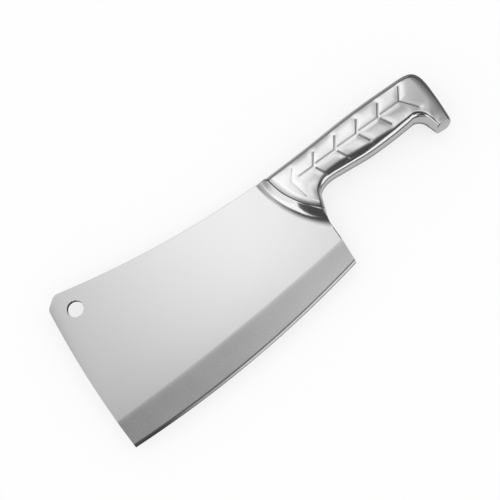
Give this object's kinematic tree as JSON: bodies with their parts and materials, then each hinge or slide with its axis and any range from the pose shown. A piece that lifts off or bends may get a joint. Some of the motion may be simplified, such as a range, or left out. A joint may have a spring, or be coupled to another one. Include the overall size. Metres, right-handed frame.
{
  "type": "cleaver",
  "caption": "All-steel kitchen cleaver: a wide ground blade with a hang hole, a cast bolster and a hollow hooked handle with pressed chevron grip grooves.",
  "frame": {"origin": "under the middle of the bounding box, with the cleaver lying flat on its right side", "axes": "+X along the cutting edge from the toe to the handle, +Y from the edge to the spine, +Z out of the blade's left face"},
  "size_m": [0.3022, 0.1182, 0.0193],
  "materials": {
    "blade_satin": "satin, brushed along the grind",
    "handle_polish": "polished stainless steel",
    "weld_steel": "weld ground and brushed"
  },
  "bodies": {
    "root": {"blade": "blade_satin", "bolster": "handle_polish", "handle_shell_left": "handle_polish", "handle_shell_right": "handle_polish", "seam_weld": "handle_polish", "mouth_weld": "weld_steel", "bolster_weld_left": "weld_steel", "bolster_weld_right": "weld_steel"}
  },
  "joints": []
}
